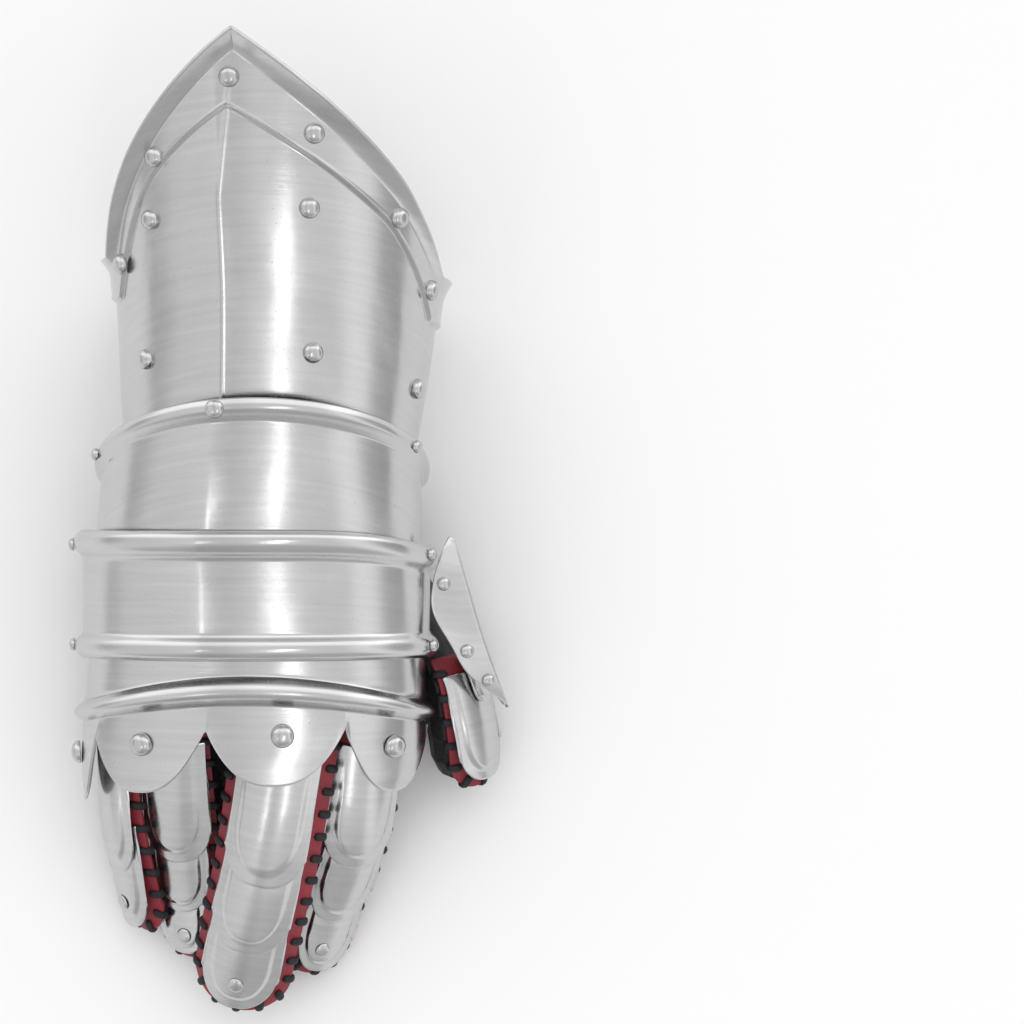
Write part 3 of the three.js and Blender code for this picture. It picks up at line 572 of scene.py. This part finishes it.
def knuckle_surface(angle, y, rise):
    return arch(KNUCKLE_ROWS, angle, y, rise, 0)


def knuckle_plate():
    """Flat under the hand lame, a round ridge across the knuckles, then the scallops, each slightly domed."""
    parts = [np.linspace(lobe["left"], lobe["right"], 61)[:-1] for lobe in LOBES]
    angle = np.concatenate(parts + [[LOBES[-1]["right"]]])
    q, _, _ = lobe_of(angle)
    flat = np.linspace(0, 1, 12)[:-1, None]
    share = np.linspace(0, 1, 40)[:-1, None]
    low = np.linspace(0, 1, 50)[:, None]
    ridge = curve([0, 0.12, 0.35, 0.62, 0.86, 1], [0, 1.2, 3.2, 3.6, 1.6, 0], share)
    y1 = mix(-46.0, knuckle_ridge(angle, 0.0)[None, :], flat)
    y2 = knuckle_ridge(angle[None, :], share)
    y3 = mix(knuckle_ridge(angle, 1.0)[None, :], lobe_edge(angle)[None, :], low)
    dome = 0.7 * (1 - q**2)[None, :] * smooth(0, 0.8, low)
    wide = np.ones_like(angle)[None, :]
    rise = np.concatenate([0 * flat * wide, ridge * wide, 1.2 * low * wide + dome - 0.35])
    rise[: len(flat) + len(share)] += -0.35 * smooth(0.7, 1.0, np.concatenate([0 * flat, share]))
    y = np.concatenate([y1, y2, y3])
    points = knuckle_surface(np.broadcast_to(angle, y.shape), y, rise)
    place(sheet("knuckle_plate_steel", points, STEEL, STEEL_FINISH), "plate_steel", "knuckle_plate")


# ---- digits ----
def digit_frame(digit, y):
    """Point on the line over the digit at y, and its directions across and out of the scales."""
    line = digit["line"]

    def at(v):
        return np.stack([along(line, v, "x"), v, along(line, v, "z")], -1)

    forward = unit(at(y - 0.5) - at(y + 0.5))
    level = unit(np.cross([0.0, 0.0, 1.0], forward))
    up = np.cross(forward, level)
    lean = math.radians(digit["lean"])
    return at(y), level * math.cos(lean) - up * math.sin(lean), up * math.cos(lean) + level * math.sin(lean)


def half_width(digit, y):
    line = digit["line"]["y"]
    return mix(digit["tip"], digit["root"], np.clip((y - line[0]) / (line[-1] - line[0]), 0, 1))


def digit_point(digit, y, x, rise):
    """Point x across the digit at y: the arch falls away as (x / half width)^2."""
    y, x, rise = np.broadcast_arrays(np.asarray(y, float), np.asarray(x, float), np.asarray(rise, float))
    point, across, out = digit_frame(digit, y)
    fall = digit["arch"] * (x / half_width(digit, y)) ** 2
    return point + across * x[..., None] + out * (rise - fall)[..., None]


def round_end(to, u, depth):
    return to + depth * (1 - np.sqrt(np.clip(1 - np.abs(u) ** 2.6, 0, None)))


def scale_point(digit, scale, u, v):
    """Scale surface for u from -1 to 1 across and v from 0 to 1 along: it tilts up towards its round lower end and
    carries a raised panel inside a U whose bottom is a superellipse."""
    start, to, left, right = scale
    y = mix(start, round_end(to, u, SCALE_ROUND), v)
    reach = (np.abs(u) / 0.76) ** 2.8 + (np.clip((v - 0.62) / 0.285, 0, None)) ** 2.8
    panel = smooth(1.1, 0.9, reach ** (1 / 2.8)) * np.clip(v / 0.5, 0, 1)
    side = np.where(u < 0, left, right)
    return digit_point(digit, y, u * side * half_width(digit, y), 0.2 + SCALE_TILT * v + PANEL_RISE * panel)


def scales(digit):
    u = np.linspace(-1, 1, 61)
    u = np.sin(u * math.pi / 2 * 0.98) / math.sin(math.pi / 2 * 0.98)
    v = np.linspace(0, 1, 72)[:, None]
    for k, scale in enumerate(digit["scales"]):
        points = scale_point(digit, scale, u[None, :], v)
        name = f"{digit['name']}_scale_{k + 1}"
        place(sheet(name + "_plate", points, SCALE_STEEL, SCALE_FINISH), "plate_steel", name)


def strip_point(digit, u, t):
    """Strip surface for u from -1 to 1 across and t from 0 at the root to 1 at the round end."""
    last = digit["scales"][-1][1]
    root = digit["scales"][0][0] + digit["tuck"]
    y = mix(root, round_end(last - 3.5, u, 10), t)
    side = np.where(u < 0, digit["left"], digit["right"])
    return digit_point(digit, y, u * (half_width(digit, y) + side), -STRIP_UNDER)


def strip(digit):
    u = np.linspace(-1, 1, 61)
    u = np.sin(u * math.pi / 2 * 0.98) / math.sin(math.pi / 2 * 0.98)
    points = strip_point(digit, u[None, :], np.linspace(0, 1, 110)[:, None])
    name = digit["name"] + "_strip"
    place(sheet(name + "_leather", points, STRIP_LEATHER, RED_FINISH), "red_leather", name)


def stitches(digit, spacing=9.0, radius=1.25):
    """Whip stitches over the strip's edge. Each is a round tube along a short path that starts on the top 3.4 mm in
    from the edge, goes out over it and comes back underneath, leaning along the edge as it goes."""
    run = np.linspace(0.02, 0.985, 160)
    ends = np.linspace(-1, 1, 90)
    left = strip_point(digit, np.full_like(run, -1.0), run)
    right = strip_point(digit, np.full_like(run, 1.0), run)[::-1]
    tip = strip_point(digit, ends * 0.985, np.ones_like(ends))
    edge = np.concatenate([left, tip[1:-1], right])
    inner_left = strip_point(digit, np.full_like(run, -0.8), run)
    inner_right = strip_point(digit, np.full_like(run, 0.8), run)[::-1]
    inner_tip = strip_point(digit, ends * 0.9, np.full_like(ends, 0.96))
    inner = np.concatenate([inner_left, inner_tip[1:-1], inner_right])
    distance = lengths(edge, 0)
    count = int(distance[-1] // spacing)
    at = (np.arange(count) + 0.5) * distance[-1] / count
    centre = np.stack([np.interp(at, distance, edge[:, k]) for k in range(3)], -1)
    inside = np.stack([np.interp(at, distance, inner[:, k]) for k in range(3)], -1)
    ahead = np.stack([np.interp(at + 0.5, distance, edge[:, k]) for k in range(3)], -1)
    behind = np.stack([np.interp(at - 0.5, distance, edge[:, k]) for k in range(3)], -1)
    tangent = unit(ahead - behind)
    inward = inside - centre
    inward = unit(inward - tangent * np.sum(inward * tangent, -1, keepdims=True))
    normal = unit(np.cross(tangent, inward))
    normal = np.where(normal[:, 2:3] < 0, -normal, normal)
    t = np.linspace(0, 1, 15)
    way_in = curve([0, 0.15, 0.35, 0.55, 0.7, 0.85, 1], [3.6, 3.1, 1.5, -0.3, -0.85, 0.2, 1.8], t)
    way_up = curve([0, 0.15, 0.35, 0.55, 0.7, 0.85, 1], [-0.5, 0.35, 0.55, 0.1, -1.1, -2.1, -2.2], t)
    slant = 1.5 * (0.5 - t)
    path = (
        centre[:, None]
        + inward[:, None] * way_in[None, :, None]
        + normal[:, None] * way_up[None, :, None]
        + tangent[:, None] * slant[None, :, None]
    )
    forward = unit(np.gradient(path, axis=1))
    sideways = unit(np.cross(forward, tangent[:, None]))
    other = np.cross(forward, sideways)
    around = np.linspace(0, 2 * np.pi, 11)[:-1]
    thin = np.sqrt(np.clip(1 - (2 * t - 1) ** 8, 0.02, 1))
    ring = (
        path[:, :, None]
        + other[:, :, None] * (np.cos(around) * radius * 1.25)[None, None, :, None] * thin[None, :, None, None]
        + sideways[:, :, None] * (np.sin(around) * radius * 0.8)[None, None, :, None] * thin[None, :, None, None]
    )
    ring[..., 2] = np.maximum(ring[..., 2], 0.1)
    one = grid_faces(len(t), len(around), wrap=True).reshape(-1, 4)
    per = len(t) * len(around)
    faces = (one[None] + (np.arange(count) * per)[:, None, None]).reshape(-1, 4)
    thing = new_object(digit["name"] + "_stitches", ring, faces, None, THREAD_FINISH)
    place(thing, "black_leather")


# ---- thumb plate ----
def thumb_plate():
    """The plate between its free edge and its fold, then down the folded side: straight across, with a small round
    fold whose corner is taken off by a quadratic curve."""
    n = np.arange(len(THUMB_PLATE["ex"]))
    at = np.linspace(0, n[-1], 90)
    cols = {name: curve(n, values, at) for name, values in THUMB_PLATE.items()}
    edge = np.stack([cols["ex"], cols["ey"], cols["ez"]], -1)[:, None]
    fold = np.stack([cols["fx"], cols["fy"], cols["fz"]], -1)[:, None]
    low = fold + np.array([-0.12, -0.1, -1.0]) * cols["down"][:, None, None]
    near_edge, near_low = mix(edge, fold, 0.88), mix(fold, low, 0.22)
    flat = mix(edge, near_edge, np.linspace(0, 1, 34)[None, :, None])
    q = np.linspace(0, 1, 14)[None, 1:, None]
    bend = near_edge * (1 - q) ** 2 + 2 * fold * q * (1 - q) + near_low * q**2
    side = mix(near_low, low, np.linspace(0, 1, 14)[None, 1:, None])
    points = np.concatenate([flat, bend, side], axis=1)
    place(sheet("thumb_plate_steel", points, SCALE_STEEL, SCALE_FINISH), "plate_steel", "thumb_plate")


# ---- rivets ----
def rivet(name, point, normal, radius, height):
    """A domed head: the profile r(t), h(t) turned round the plate's normal."""
    profile = np.array([(0, -0.12), (0.6, -0.12), (0.97, -0.12), (1, 0.05), (0.985, 0.24), (0.9, 0.5), (0.74, 0.74), (0.52, 0.9), (0.27, 0.98), (0, 1)])
    t = np.linspace(0, len(profile) - 1, 28)
    r = np.clip(curve(np.arange(len(profile)), profile[:, 0], t), 0, 1) * radius
    h = curve(np.arange(len(profile)), profile[:, 1], t) * height + 0.25
    spare = np.array([1.0, 0.0, 0.0]) if abs(normal[0]) < 0.8 else np.array([0.0, 1.0, 0.0])
    a = unit(np.cross(normal, spare))
    b = np.cross(normal, a)
    around = np.linspace(0, 2 * np.pi, 37)[:-1]
    ring = (
        point
        + normal * h[:, None, None]
        + a * (r[:, None] * np.cos(around))[..., None]
        + b * (r[:, None] * np.sin(around))[..., None]
    )
    thing = new_object(name + "_head", ring, grid_faces(len(t), len(around), wrap=True), None, RIVET_FINISH)
    place(thing, "rivet_steel", name)


def place_on(surface, a, b, inside):
    """Point and outward normal of a surface given as a function of two parameters."""
    point = surface(np.array(float(a)), np.array(float(b)))
    across = surface(np.array(a + 0.5), np.array(float(b))) - surface(np.array(a - 0.5), np.array(float(b)))
    up = surface(np.array(float(a)), np.array(b + 0.5)) - surface(np.array(float(a)), np.array(b - 0.5))
    normal = unit(np.cross(across, up))
    return point, normal if np.dot(normal, point - np.array(inside)) > 0 else -normal


def rivets():
    inside = (0, 60, 45)
    rim = [(-15, 15), (13.5, 12), (46, 10.5), (68, 9.8), (-38, 10.8), (-61, 11), (-102, 9.4)]
    for k, (angle, drop) in enumerate(rim):
        y = float(rim_height(np.array(float(angle)))) - drop
        spot = place_on(lambda a, b: cuff_surface(a, b, BAND_RISE), angle, y, inside)
        rivet(f"cuff_rim_rivet_{k + 1}", *spot, 3.7, 2.8)
    body = [(-42, 103.8), (14, 106.5), (-50, 55), (17, 56.5), (71, 45), (-110, 45)]
    for k, (angle, y) in enumerate(body):
        rivet(f"cuff_rivet_{k + 1}", *place_on(lambda a, b: cuff_surface(a, b, 0), angle, y, inside), 3.7, 2.8)
    lames = [
        ("wrist_rivet_1", WRIST_ROWS, -13, float(wrist_upper(-13)) - 3, 3, 3.4, 2.4),
        ("wrist_rivet_2", WRIST_ROWS, -76, float(wrist_upper(-76)) - 3, 3, 2.4, 1.9),
        ("wrist_rivet_3", WRIST_ROWS, 68, float(wrist_upper(68)) - 3, 3, 2.4, 1.9),
        ("hand_rivet_1", HAND_ROWS, -88, -12, 3.2, 2.4, 1.9),
        ("hand_rivet_2", HAND_ROWS, 74, -15.5, 3.2, 2.4, 1.9),
        ("hand_rivet_3", HAND_ROWS, -88, -49.5, 3.2, 2.4, 1.9),
        ("hand_rivet_4", HAND_ROWS, 76, -49.5, 3.2, 2.4, 1.9),
    ]
    for name, rows, angle, y, rise, radius, height in lames:
        axis = (0, y, float(along(rows, y, "mid")))
        rivet(name, *place_on(lambda a, b: arch(rows, a, b, rise, 1.2), angle, y, axis), radius, height)
    for lobe in LOBES:
        axis = (0, lobe["rivet"], float(along(KNUCKLE_ROWS, lobe["rivet"], "mid")))
        spot = place_on(lambda a, b: knuckle_surface(a, b, 1), lobe["angle"], lobe["rivet"], axis)
        rivet("knuckle_rivet_" + lobe["name"], *spot, 4.3, 3)
    for digit in DIGITS[:4]:
        scale = digit["scales"][-1]
        point, _, out = digit_frame(digit, np.array(float(scale[1])))
        spot = place_on(lambda a, b: scale_point(digit, scale, a / 100, b / 100), 0, 76, point - out * 20)
        rivet(digit["name"] + "_tip_rivet", *spot, 3, 1)
    edge = np.stack([THUMB_PLATE[k] for k in ("ex", "ey", "ez")], -1)
    fold = np.stack([THUMB_PLATE[k] for k in ("fx", "fy", "fz")], -1)
    for k, (row, share) in enumerate([(2, 0.25), (4, 0.35), (5, 0.6)]):
        across = mix(edge, fold, share)
        normal = unit(np.cross(fold[row] - edge[row], across[row + 1] - across[row - 1]))
        rivet(f"thumb_rivet_{k + 1}", across[row], normal if normal[2] > 0 else -normal, 2.6, 1.8)


def glove():
    """The CAD glove itself, in soft black leather."""
    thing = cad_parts["glove"]
    thing.data.materials.clear()
    thing.data.materials.append(BLACK_FINISH)


cuff()
lame("wrist_lame", WRIST_ROWS, wrist_upper, lambda a: np.full_like(a, -14.0), FLARE, None)
lame("hand_lame", HAND_ROWS, hand_upper, lambda a: np.full_like(a, HAND_LOWER), HALF_BEAD, HALF_BEAD)
knuckle_plate()
for part in DIGITS:
    scales(part)
    strip(part)
    stitches(part)
thumb_plate()
glove()
rivets()


# ---- stage, light and camera ----
def plain(name, colour, roughness):
    made = bpy.data.materials.new(name)
    made.use_nodes = True
    shade = made.node_tree.nodes["Principled BSDF"]
    shade.inputs["Base Color"].default_value = (*colour, 1)
    shade.inputs["Roughness"].default_value = roughness
    return made


def stage():
    mesh = bpy.data.meshes.new("floor")
    mesh.from_pydata([(-3, -3, 0), (3, -3, 0), (3, 3, 0), (-3, 3, 0)], [], [(0, 1, 2, 3)])
    mesh.materials.append(plain("pale_floor", (0.93, 0.93, 0.93), 0.9))
    floor = bpy.data.objects.new("floor", mesh)
    bpy.context.scene.collection.objects.link(floor)


def strip_light(name, start, end, width, radiance):
    """A long narrow panel between two points over the object, facing it: power = radiance x pi x area."""
    start, end = np.array(start), np.array(end)
    light = bpy.data.lights.new(name, "AREA")
    light.shape = "RECTANGLE"
    light.size = width
    light.size_y = float(np.linalg.norm(end - start))
    light.energy = radiance * math.pi * light.size * light.size_y
    up = unit((start + end) / 2)
    along_it = unit(end - start)
    side = unit(np.cross(along_it, up))
    thing = bpy.data.objects.new(name, light)
    axes = np.stack([side, along_it, np.cross(side, along_it)], 1)
    thing.matrix_world = Matrix.Translation((start + end) / 2) @ Matrix(axes.tolist()).to_4x4()
    bpy.context.scene.collection.objects.link(thing)


def brightness(tree, part, stops):
    """Brightness by one part of a direction, from -1 to 1, eased between given stops."""
    ramp = tree.nodes.new("ShaderNodeValToRGB")
    ramp.color_ramp.interpolation = "EASE"
    while len(ramp.color_ramp.elements) < len(stops):
        ramp.color_ramp.elements.new(0.5)
    for element, (at, value) in zip(ramp.color_ramp.elements, stops):
        element.position = (at + 1) / 2
        element.color = (value, value, value, 1)
    tree.links.new(maths(tree, "MULTIPLY_ADD", part, 0.5, 0.5), ramp.inputs[0])
    return ramp.outputs[0]


def room():
    """A white room of long soft panels: dimmer low on the right and towards the fingers, brighter past the cuff.
    The camera itself sees a plain backdrop."""
    world = bpy.data.worlds.new("studio")
    world.use_nodes = True
    tree = world.node_tree
    tree.nodes.clear()
    direction = tree.nodes.new("ShaderNodeTexCoord").outputs["Generated"]
    parts = node(tree, "ShaderNodeSeparateXYZ", {0: direction})
    across = [(-1, 0.6), (-0.9, 0.92), (-0.5, 1), (-0.3, 0.78), (-0.18, 0.8), (0, 0.97), (0.6, 0.93), (0.7, 1.25)]
    across += [(0.8, 1.2), (0.92, 0.6), (1, 0.5)]
    down = [(-1, 0.62), (-0.78, 0.66), (-0.58, 0.97), (0.2, 1), (0.45, 1.6), (0.75, 1.7), (0.9, 0.9), (1, 0.6)]
    level = maths(tree, "MULTIPLY", brightness(tree, parts.outputs[0], across), brightness(tree, parts.outputs[1], down))
    seen = tree.nodes.new("ShaderNodeLightPath").outputs["Is Camera Ray"]
    level = node(tree, "ShaderNodeMix", {0: seen, 2: level, 3: 0.9}, data_type="FLOAT").outputs[0]
    back = node(tree, "ShaderNodeBackground", {"Color": (1, 1, 1, 1), "Strength": level})
    out = tree.nodes.new("ShaderNodeOutputWorld")
    tree.links.new(back.outputs[0], out.inputs["Surface"])
    bpy.context.scene.world = world


def lights():
    room()
    strip_light("long_strip", (0.3, -0.32, 1.3), (0.17, -0.8, 1.3), 0.1, 3.5)
    strip_light("short_strip", (-0.5, -0.52, 1.3), (-0.7, -0.8, 1.3), 0.1, 3.0)


def camera():
    lens = bpy.data.cameras.new("camera")
    lens.sensor_width = 36
    lens.lens = 36 * 1000 / (0.37 * 1024)
    lens.clip_start = 0.01
    thing = bpy.data.objects.new("camera", lens)
    thing.location = ((92.5 + SHIFT[0]) * MM, SHIFT[1] * MM, 1.05)
    bpy.context.scene.collection.objects.link(thing)
    bpy.context.scene.camera = thing


stage()
lights()
camera()
bpy.context.scene.view_settings.view_transform = "Standard"
